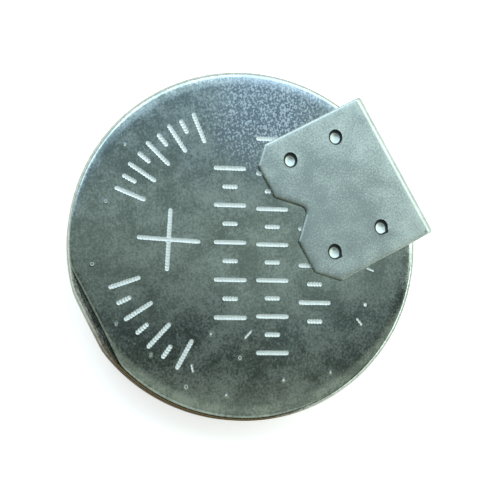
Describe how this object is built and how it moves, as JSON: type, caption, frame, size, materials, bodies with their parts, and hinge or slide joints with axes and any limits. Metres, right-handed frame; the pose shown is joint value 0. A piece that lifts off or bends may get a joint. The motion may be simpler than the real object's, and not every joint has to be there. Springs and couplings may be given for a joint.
{
  "type": "lithium coin cell with terminal tab",
  "caption": "Round flat lithium coin cell with a crimped steel case and a folded metal terminal tab welded to its positive face.",
  "frame": {"origin": "centre of the negative cap's flat face, which is the lowest face of the cell", "axes": "+Z along the cell's axis from the negative cap to the positive face; +X towards the folded leg of the terminal tab"},
  "size_m": [0.0247, 0.0244, 0.0033],
  "materials": {
    "can_steel": "bright rolled stainless steel, handled, with fine scuffs",
    "cap_steel": "satin rolled stainless steel",
    "gasket_plastic": "natural polypropylene",
    "lithium_metal": "soft matt metal",
    "separator_felt": "white nonwoven felt",
    "pellet": "matt pressed black powder",
    "ring_steel": "plain stainless steel",
    "tab_metal": "satin nickel-plated steel"
  },
  "bodies": {
    "root": {"positive_can": "can_steel", "negative_cap": "cap_steel", "gasket": "gasket_plastic", "lithium_disc": "lithium_metal", "separator": "separator_felt", "cathode_pellet": "pellet", "collector_ring": "ring_steel", "terminal_tab": "tab_metal"}
  },
  "joints": []
}
